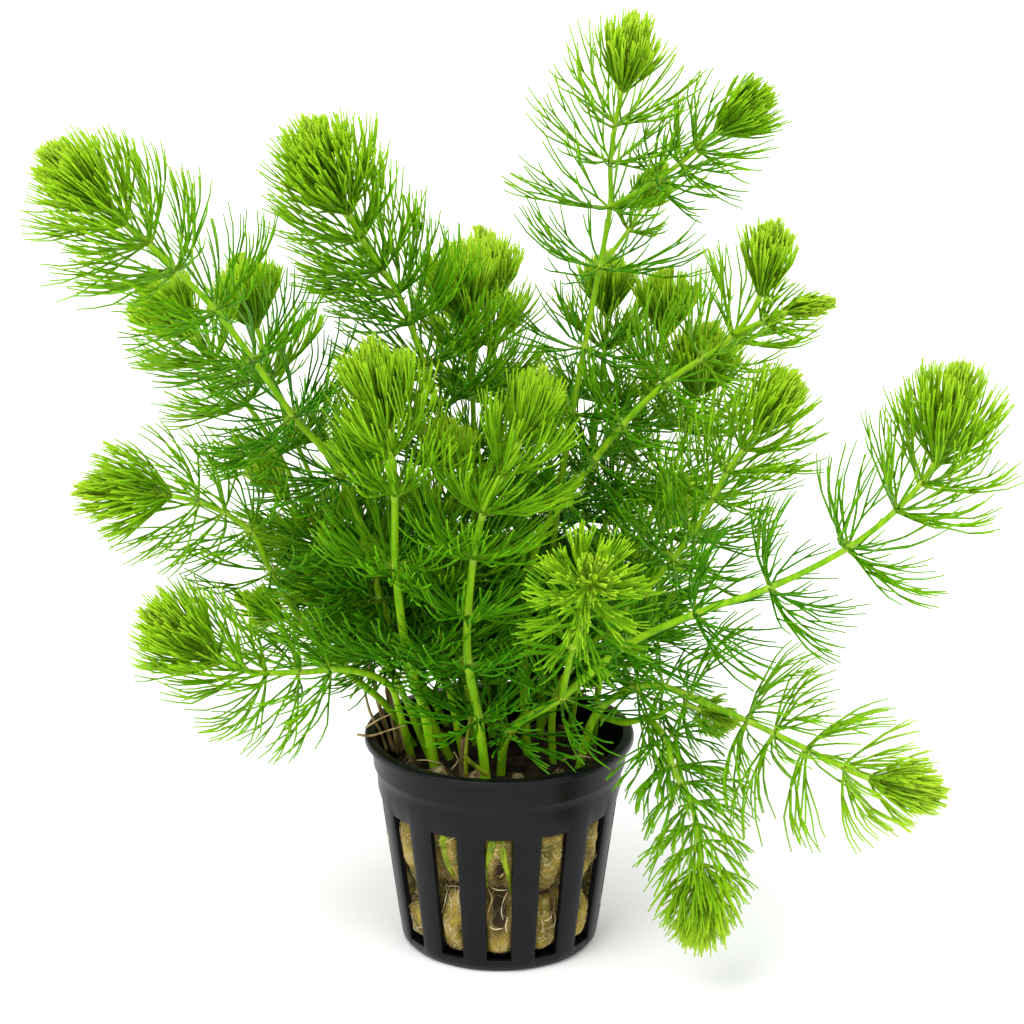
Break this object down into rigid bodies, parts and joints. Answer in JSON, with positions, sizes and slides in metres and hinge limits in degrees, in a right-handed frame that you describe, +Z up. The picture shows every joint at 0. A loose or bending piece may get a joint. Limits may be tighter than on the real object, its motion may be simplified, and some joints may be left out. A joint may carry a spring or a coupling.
{
  "type": "potted hornwort plant",
  "caption": "Bushy potted hornwort: whorled needle-leaved green shoots rising and trailing from mineral wool in a slotted black net pot.",
  "frame": {"origin": "centre of the pot's flat underside", "axes": "+Z up along the pot's axis, -Y towards the front that the picture shows, +X to the viewer's right"},
  "size_m": [0.1879, 0.1335, 0.19],
  "materials": {
    "black_plastic": "satin black injection-moulded plastic",
    "mineral_wool": "wet tan and olive mineral wool fibres",
    "fresh_green": "fresh plant tissue, dark green on older leaves and yellow green at the tips, slightly glossy stems",
    "old_brown": "old dried brown stem"
  },
  "bodies": {
    "root": {"net_pot": "black_plastic", "rockwool": "mineral_wool", "shoot_high_left": "fresh_green", "shoot_left_behind": "fresh_green", "shoot_left_back": "fresh_green", "shoot_tall_left": "fresh_green", "shoot_centre": "fresh_green", "shoot_centre_back": "fresh_green", "shoot_tallest": "fresh_green", "shoot_tallest_branch": "fresh_green", "shoot_tallest_twig": "fresh_green", "shoot_right_back": "fresh_green", "shoot_upper_right": "fresh_green", "shoot_upper_right_branch": "fresh_green", "shoot_right": "fresh_green", "shoot_far_right": "fresh_green", "shoot_front_branch": "fresh_green", "shoot_middle_left": "fresh_green", "shoot_middle_left_branch": "fresh_green", "shoot_low_left": "fresh_green", "shoot_front_left": "fresh_green", "shoot_front": "fresh_green", "shoot_low_right": "fresh_green", "shoot_drooping": "fresh_green", "shoot_drooping_branch": "fresh_green", "shoot_inner_left": "fresh_green", "shoot_inner_front": "fresh_green", "shoot_back_tassel": "fresh_green", "shoot_inner_right": "fresh_green", "shoot_rear_centre": "fresh_green", "shoot_rear_left": "fresh_green", "shoot_rear_right": "fresh_green", "shoot_rear_low_left": "fresh_green", "shoot_rear_low": "fresh_green", "old_stem_left": "old_brown", "old_stem_front": "old_brown"}
  },
  "joints": []
}
